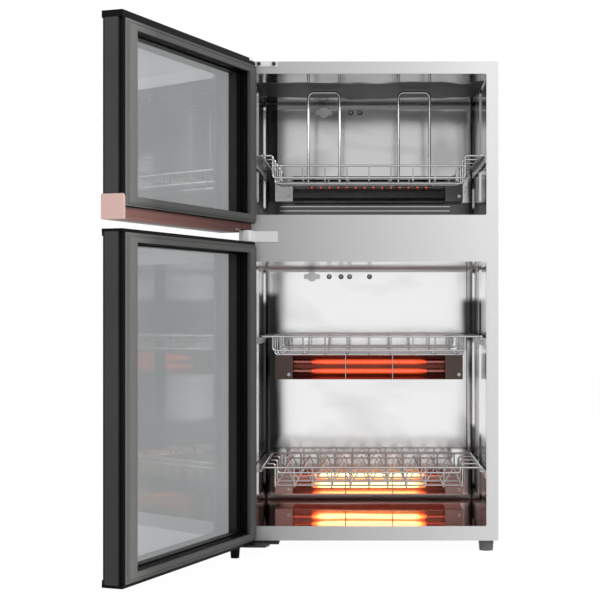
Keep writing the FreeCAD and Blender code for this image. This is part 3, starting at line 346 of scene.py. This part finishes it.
def tinted_glass(name):
    """Grey tempered glass with a faint mirror layer, and a black printed border all round."""
    material, tree, shader = graph(name)
    where = place(tree)
    slow = noise(tree, where, 6.0, 2.0)
    clear = ramp(tree, slow, [(0.3, (0.45, 0.465, 0.47)), (0.7, (0.50, 0.515, 0.52))])
    from_pin = add(tree, "ShaderNodeVectorMath", {0: where, 1: PIN}, operation="SUBTRACT")
    along_door = add(
        tree, "ShaderNodeVectorMath", {0: from_pin.outputs[0], 1: DOOR_ALONG},
        operation="DOT_PRODUCT",
    ).outputs["Value"]
    height = axis_of(tree, where, "Z")
    rows = 0.0
    for door in ("upper_door_frame", "lower_door_frame"):
        low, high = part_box(door)
        row = within(tree, height, low.z + PRINT_EDGE, high.z - PRINT_EDGE)
        rows = maths(tree, "ADD", rows, row)
    window = maths(tree, "MULTIPLY", within(tree, along_door, *PRINT_SIDES), rows)
    connect(tree, mix(tree, window, 0.006, clear), shader.inputs["Base Color"])
    connect(tree, between(tree, slow, 0.015, 0.035), shader.inputs["Roughness"])
    shader.inputs["Transmission Weight"].default_value = 0.90
    shader.inputs["Metallic"].default_value = 0.17
    shader.inputs["IOR"].default_value = 1.25
    return material


def along(tree, reach, grain):
    """0 at the middle of a heater and 1 at the end of its glowing stretch, a little uneven."""
    where = axis_of(tree, place(tree), "X")
    end = maths(tree, "DIVIDE", maths(tree, "ABSOLUTE", where), reach)
    waver = maths(tree, "MULTIPLY", noise(tree, place(tree), grain, 2.0), 0.12)
    return maths(tree, "ADD", end, waver)


def quartz(name, heat=None, strength=0.0):
    """Clear quartz tube, faintly streaked along its length; a lit one fills with light."""
    material, tree, shader = graph(name)
    streaks = noise(tree, place(tree, (3.0, 60.0, 60.0)), 9.0, 2.0)
    colour = ramp(tree, streaks, [(0.3, (0.93, 0.88, 0.84)), (0.7, (1.0, 0.97, 0.94))])
    connect(tree, colour, shader.inputs["Base Color"])
    connect(tree, between(tree, streaks, 0.02, 0.10), shader.inputs["Roughness"])
    shader.inputs["Transmission Weight"].default_value = 1.0
    if heat:
        hot, cool, dark = heat
        stops = [(0.0, hot), (0.70, hot), (0.80, cool), (0.88, dark)]
        light = ramp(tree, along(tree, TUBE_LIT, 60.0), stops)
        connect(tree, light, shader.inputs["Emission Color"])
        shader.inputs["Emission Strength"].default_value = strength
    return material


def glow(name, cool, hot, strength):
    """A heating coil that glows, dimmer towards its ends."""
    material, tree, shader = graph(name)
    factor = along(tree, COIL_LIT, 90.0)
    colour = ramp(tree, factor, [(0.0, hot), (0.85, hot), (1.0, cool)])
    connect(tree, colour, shader.inputs["Emission Color"])
    shader.inputs["Emission Strength"].default_value = strength
    connect(tree, colour, shader.inputs["Base Color"])
    shader.inputs["Roughness"].default_value = 0.6
    return material


def beads(name, hot, strength):
    """A row of glowing beads on a dark rod."""
    material, tree, shader = graph(name)
    where = axis_of(tree, place(tree), "X")
    fold = maths(tree, "PINGPONG", where, BEAD_PITCH / 2)
    lit = maths(tree, "GREATER_THAN", fold, BEAD_PITCH / 2 - BEAD_HALF)
    inside = within(tree, where, -BEADS_LIT, BEADS_LIT)
    colour = mix(tree, maths(tree, "MULTIPLY", lit, inside), 0.0, hot)
    connect(tree, colour, shader.inputs["Emission Color"])
    shader.inputs["Emission Strength"].default_value = strength
    grains = noise(tree, place(tree), 400.0, 2.0)
    connect(tree, ramp(tree, grains, [(0.3, 0.03), (0.7, 0.07)]), shader.inputs["Base Color"])
    connect(tree, between(tree, grains, 0.5, 0.7), shader.inputs["Roughness"])
    return material


def across(
    name, left, right, metal, rough, grain, stretch=(1, 1, 1), ends=(-0.19, 0.19), **more
):
    """A surface whose tone runs from one side to the other, between two ends along X, as painted
    light and shade.
    """
    material, tree, shader = graph(name)
    where = axis_of(tree, place(tree), "X")
    grains = noise(tree, place(tree, stretch), grain, 3.0)
    waver = maths(tree, "MULTIPLY", grains, 0.03 * (ends[1] - ends[0]))
    share = add(
        tree, "ShaderNodeMapRange",
        {"Value": maths(tree, "ADD", where, waver), "From Min": ends[0], "From Max": ends[1]},
    ).outputs["Result"]
    connect(tree, ramp(tree, share, [(0.0, left), (1.0, right)]), shader.inputs["Base Color"])
    connect(tree, between(tree, grains, *rough), shader.inputs["Roughness"])
    connect(tree, bump(tree, grains, 0.4, 0.00002), shader.inputs["Normal"])
    shader.inputs["Metallic"].default_value = metal
    for key, value in more.items():
        shader.inputs[key].default_value = value
    return material


def gasket_rubber(name):
    """Soft grey seal with a satin skin, with painted light and shade: paler at the door's free
    end, darker towards the hinge.
    """
    return across(
        name, (0.235, 0.238, 0.224), (0.090, 0.092, 0.088), 0.0, (0.50, 0.62), 900.0,
        ends=(-0.330, -0.295), **{"Specular IOR Level": 0.25},
    )


MATERIALS = {
    "casing_paint": lambda n: finish(n, 0.46, 0.50, 0.5, (0.34, 0.46), 700.0),
    # painted light and shade: the face frame darker at its left end, lighter at its right
    "face_paint": lambda n: across(n, 0.39, 0.64, 0.5, (0.42, 0.52), 700.0),
    "rear_sheet": lambda n: finish(n, 0.42, 0.50, 0.6, (0.35, 0.55), 160.0, clouds=30.0),
    "liner_steel": lower_liner_steel,
    "heater_steel": lambda n: finish(n, 0.55, 0.68, 0.9, (0.22, 0.34), 60.0, (1, 1, 30)),
    "quartz": quartz,
    "heating_coil": lambda n: glow(n, (0.60, 0.07, 0.01), (1.0, 0.50, 0.16), 3.0),
    "chrome_wire": lambda n: finish(n, 0.42, 0.60, 1.0, (0.06, 0.14), 300.0),
    "door_frame_plastic": lambda n: finish(
        n, 0.018, 0.026, 0.0, (0.34, 0.46), 1200.0, **{"Specular IOR Level": 0.34}
    ),
    "door_liner_plastic": lambda n: finish(
        n, 0.003, 0.005, 0.0, (0.40, 0.52), 1200.0, **{"Specular IOR Level": 0.08}
    ),
    "gasket_rubber": gasket_rubber,
    "door_glass": tinted_glass,
    "cap_plastic": lambda n: finish(
        n, 0.004, 0.006, 0.0, (0.30, 0.40), 1200.0, **{"Specular IOR Level": 0.10, "IOR": 1.3}
    ),
    # painted light and shade: the trim lighter at the door's free end, darker towards the hinge
    "trim_rose": lambda n: across(
        n, (0.400, 0.205, 0.175), (0.085, 0.026, 0.020), 0.3, (0.34, 0.44), 90.0, (1, 1, 40),
        (-0.37, -0.20), **{"Specular IOR Level": 0.20}
    ),
    "trim_end_pink": lambda n: finish(
        n, (0.74, 0.48, 0.44), (0.80, 0.53, 0.48), 0.0, (0.20, 0.30), 900.0
    ),
    "hinge_white": lambda n: finish(n, 0.74, 0.80, 0.1, (0.25, 0.38), 500.0),
    "hinge_dark": lambda n: finish(n, 0.010, 0.018, 0.2, (0.34, 0.48), 600.0),
    "pin_steel": lambda n: finish(n, 0.40, 0.55, 1.0, (0.20, 0.35), 200.0, (1, 1, 40)),
    "screw_steel": lambda n: finish(n, 0.30, 0.60, 1.0, (0.18, 0.35), 900.0, clouds=300.0),
    "foot_rubber": lambda n: finish(
        n, 0.10, 0.14, 0.0, (0.50, 0.70), 1500.0, depth=0.00006
    ),
    "switch_metal": lambda n: finish(n, 0.45, 0.62, 0.9, (0.25, 0.40), 400.0),
    "board_laminate": lambda n: finish(
        n, (0.03, 0.12, 0.05), (0.05, 0.18, 0.08), 0.0, (0.30, 0.45), 500.0, clouds=120.0
    ),
    "ozone_plastic": lambda n: finish(n, 0.70, 0.76, 0.0, (0.35, 0.50), 900.0),
    "gland_plastic": lambda n: finish(n, 0.014, 0.022, 0.0, (0.35, 0.50), 1200.0),
}

# A lit tube's light at its middle, near its ends and at its ends.
RED_HOT = ((0.90, 0.12, 0.02), (0.75, 0.07, 0.01), (0.0, 0.0, 0.0))
YELLOW_HOT = ((1.0, 0.90, 0.38), (0.95, 0.16, 0.03), (0.0, 0.0, 0.0))

# Nodes whose looks differ from the rest of their slot; the heaters' reflectors and brackets carry
# painted glow and shade.
SPECIAL = {
    "upper_liner": upper_liner_steel,
    # painted shade: the upper reflector made near black
    "upper_heater_reflector": lambda n: finish(
        n, 0.03, 0.06, 0.8, (0.22, 0.34), 60.0, (1, 1, 30)
    ),
    "hinge_screws": lambda n: finish(n, 0.02, 0.05, 0.8, (0.30, 0.45), 900.0),
    # painted light and shade: the left bracket light, the right one dark
    "upper_heater_brackets": lambda n: across(n, 0.66, 0.06, 0.8, (0.24, 0.36), 60.0, (1, 1, 30)),
    "upper_heater_coils": lambda n: beads(n, (0.75, 0.07, 0.03), 0.9),
    # painted glow and shade: the middle reflector dark red-brown from its heater's glow
    "middle_heater_reflector": lambda n: finish(
        n, (0.16, 0.045, 0.035), (0.24, 0.070, 0.050), 0.9, (0.22, 0.34), 60.0, (1, 1, 30)
    ),
    "middle_heater_tubes": lambda n: quartz(n, RED_HOT, 0.17),
    # painted glow: the lower reflector pinkish red from its bright heater
    "lower_heater_reflector": lambda n: finish(
        n, (0.34, 0.17, 0.14), (0.46, 0.24, 0.20), 0.9, (0.18, 0.28), 60.0, (1, 1, 30)
    ),
    "lower_heater_tubes": lambda n: quartz(n, YELLOW_HOT, 0.80),
    # painted glow and shade: the middle brackets dark red-brown
    "middle_heater_brackets": lambda n: finish(
        n, (0.10, 0.07, 0.065), (0.16, 0.11, 0.10), 0.7, (0.25, 0.38), 60.0, (1, 1, 30)
    ),
    # painted glow: the lower brackets pink from the bright heater
    "lower_heater_brackets": lambda n: finish(
        n, (0.40, 0.30, 0.28), (0.52, 0.41, 0.38), 0.7, (0.25, 0.38), 60.0, (1, 1, 30)
    ),
}


def dress_nodes():
    """Give every CAD node its material."""
    slots = {p["node"]: p["material_slot"] for p in frame["record"]["subparts"]}
    made = {slot: build(slot) for slot, build in MATERIALS.items()}
    for name, thing in nodes.items():
        thing.data.materials.clear()
        own = SPECIAL[name](name + "_finish") if name in SPECIAL else made[slots[name]]
        thing.data.materials.append(own)
    return made


# ---------------------------------------------------------------- pieces that only the scene has
def piece(name, verts, faces, material, slot, body):
    """A smooth-shaded mesh that rides on a body."""
    mesh = bpy.data.meshes.new(name)
    mesh.from_pydata(verts, [], faces)
    mesh.validate()
    for face in mesh.polygons:
        face.use_smooth = True
    mesh.materials.append(material)
    thing = bpy.data.objects.new(name, mesh)
    bpy.context.scene.collection.objects.link(thing)
    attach(thing, body)
    return thing


def tube_faces(count, sides):
    """The faces between rings of points, one ring after the other."""
    faces = []
    for i in range(count - 1):
        for k in range(sides):
            a, b = i * sides + k, i * sides + (k + 1) % sides
            faces.append((a, b, b + sides, a + sides))
    return faces


def joined(meshes):
    """Several meshes' points and faces as one list of each."""
    verts, faces = [], []
    for more, rings in meshes:
        faces += [tuple(len(verts) + corner for corner in face) for face in rings]
        verts += more
    return verts, faces


def sweep(path, radius, sides):
    """Points and faces of a round wire along a path."""
    verts = []
    side = Vector((0.0, 0.0, 1.0))
    for i, here in enumerate(path):
        ahead = (path[min(i + 1, len(path) - 1)] - path[max(i - 1, 0)]).normalized()
        side = (side - ahead * side.dot(ahead)).normalized()
        other = ahead.cross(side)
        for k in range(sides):
            turn = math.tau * k / sides
            verts.append(here + radius * (math.cos(turn) * side + math.sin(turn) * other))
    return verts, tube_faces(len(path), sides)


def windings(heater, material):
    """The wound wire inside a heater's tubes, with a straight lead at each end."""
    radius, wire, pitch, steps = 0.0023, 0.00042, 0.0017, 10
    half, lead = 0.106, 0.1485
    low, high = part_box(f"{heater}_tubes")
    tube = (high.y - low.y) / 2
    y = (low.y + high.y) / 2
    count = int(2 * half / pitch * steps)
    wires = []
    for z in (low.z + tube, high.z - tube):
        path = [Vector((-lead, y, z)), Vector((-half - pitch, y, z))]
        for i in range(count + 1):
            turn = math.tau * i / steps
            x = -half + 2 * half * i / count
            path.append(Vector((x, y + radius * math.cos(turn), z + radius * math.sin(turn))))
        path += [Vector((half + pitch, y, z)), Vector((lead, y, z))]
        wires.append(sweep(path, wire, sides=5))
    coil = piece(f"{heater}_windings", *joined(wires), material, "heating_coil", "cabinet")
    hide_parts(f"{heater}_coils")


def turned(profile, at, facing, sides=16):
    """Points and faces of a profile (radius, height) turned about a line that faces one way."""
    verts = []
    ahead = Vector(facing)
    side = ahead.orthogonal().normalized()
    other = ahead.cross(side)
    for radius, height in profile:
        for k in range(sides):
            turn = math.tau * k / sides
            rim = radius * (math.cos(turn) * side + math.sin(turn) * other)
            verts.append(Vector(at) + ahead * height + rim)
    return verts, tube_faces(len(profile), sides)


def screws(name, places, facing, r, material):
    """Domed screws of radius r on washers, with a socket in each head, as one piece."""
    profile = [
        (1.7 * r, -0.1 * r), (1.7 * r, 0.25 * r), (1.1 * r, 0.3 * r), (1.05 * r, 0.7 * r),
        (0.8 * r, 1.0 * r), (0.45 * r, 1.1 * r), (0.38 * r, 0.7 * r), (0.001 * r, 0.7 * r),
    ]
    heads = joined([turned(profile, at, facing) for at in places])
    piece(name, *heads, material, "screw_steel", "cabinet")


def fasteners(steel):
    """Screws on the rear walls beside the switches, and around the rear cover."""
    spots = []
    for switch, places in (("upper", UPPER_SCREWS_X), ("lower", LOWER_SCREWS_X)):
        low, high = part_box(f"{switch}_thermostat")
        spots += [(x, high.y, (low.z + high.z) / 2) for x in places]
    screws("wall_screws", spots, (0, -1, 0), 0.0028, steel)
    low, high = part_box("rear_cover")
    bottom, top = low.z + COVER_INSET, high.z - COVER_INSET
    rows = [bottom + (top - bottom) * i / (COVER_ROWS - 1) for i in range(COVER_ROWS)]
    rim = [(x, high.y, z) for x in (low.x + COVER_INSET, high.x - COVER_INSET) for z in rows]
    rim += [(0.0, high.y, bottom), (0.0, high.y, top)]
    screws("cover_screws", rim, (0, 1, 0), 0.0022, steel)


def soften():
    """Small rounded edges, as moulded and folded parts have."""
    widths = {
        "door_frame": 0.0008, "inner_frame": 0.0006, "gasket": 0.0012, "cap": 0.0010,
        "trim": 0.0005, "bracket": 0.0004, "face_frame": 0.0004, "liner": 0.0006,
        "foot": 0.0005, "inlet": 0.0005, "thermostat": 0.0004, "supports": 0.0003,
    }
    for name, thing in nodes.items():
        for word, width in widths.items():
            if word in name:
                bevel = thing.modifiers.new("soft edges", "BEVEL")
                bevel.width = width
                bevel.segments = 2
                bevel.limit_method = "ANGLE"
                bevel.angle_limit = SHARP
                bevel.harden_normals = False
                break


# ---------------------------------------------------------------- stage, light and camera
def stage():
    """A white floor that keeps the shadow, and a white world for camera, metal and glass."""
    bpy.ops.mesh.primitive_plane_add(size=12)
    floor = bpy.context.object
    floor.name = "floor"
    material, tree, shader = graph("floor_white")
    shader.inputs["Base Color"].default_value = tint(0.90)
    shader.inputs["Roughness"].default_value = 0.7
    white = add(tree, "ShaderNodeEmission", {"Color": tint(1.0), "Strength": FLOOR_GLOW})
    share = maths(tree, "MULTIPLY", clear_rays(tree), FLOOR_SHARE)
    blend = add(
        tree, "ShaderNodeMixShader",
        {"Fac": share, 1: shader.outputs["BSDF"], 2: white.outputs["Emission"]},
    )
    output = tree.nodes["Material Output"]
    tree.links.new(blend.outputs["Shader"], output.inputs["Surface"])
    floor.data.materials.append(material)

    world = bpy.data.worlds.new("studio")
    bpy.context.scene.world = world
    world.use_nodes = True
    tree = world.node_tree
    background = tree.nodes["Background"]
    strength = between(tree, clear_rays(tree), WORLD_DIFFUSE, 1.0)
    connect(tree, strength, background.inputs["Strength"])
    background.inputs["Color"].default_value = tint(1.0)


def clear_rays(tree):
    """1 for rays that show the background: from the camera, and through metal and glass."""
    path = add(tree, "ShaderNodeLightPath").outputs
    first = maths(tree, "MAXIMUM", path["Is Camera Ray"], path["Is Glossy Ray"])
    return maths(tree, "MAXIMUM", first, path["Is Transmission Ray"])


def lamp(name, at, aim, size, power):
    """A soft rectangular lamp turned towards a point."""
    data = bpy.data.lights.new(name, "AREA")
    data.shape = "RECTANGLE"
    data.size, data.size_y = size
    data.energy = power
    thing = bpy.data.objects.new(name, data)
    thing.location = at
    direction = Vector(aim) - Vector(at)
    thing.rotation_euler = direction.to_track_quat("-Z", "Y").to_euler()
    bpy.context.scene.collection.objects.link(thing)


def lights():
    lamp("key", (1.30, -1.50, 1.35), (0, 0, 0.42), (0.9, 0.9), 22.0)
    lamp("fill", (-1.8, -2.6, 1.2), (0, 0, 0.4), (1.8, 2.2), 16.0)
    lamp("back", (0.4, 2.6, 2.2), (0, 0, 0.5), (2.2, 1.4), 9.0)


def camera():
    data = bpy.data.cameras.new("camera")
    data.sensor_width = 36.0
    data.lens = CAMERA_LENS
    data.shift_x, data.shift_y = CAMERA_SHIFT
    thing = bpy.data.objects.new("camera", data)
    thing.location = (0.0, FACE_Y - CAMERA_DISTANCE, CAMERA_HEIGHT)
    thing.rotation_euler = (math.radians(90), 0, 0)
    bpy.context.scene.collection.objects.link(thing)
    bpy.context.scene.camera = thing


made = dress_nodes()
soften()
windings("middle_heater", glow("dim_coil", (0.60, 0.05, 0.02), (0.75, 0.07, 0.03), 1.2))
windings("lower_heater", made["heating_coil"])
fasteners(made["screw_steel"])
stage()
lights()
camera()
bpy.context.scene.view_settings.view_transform = "Standard"
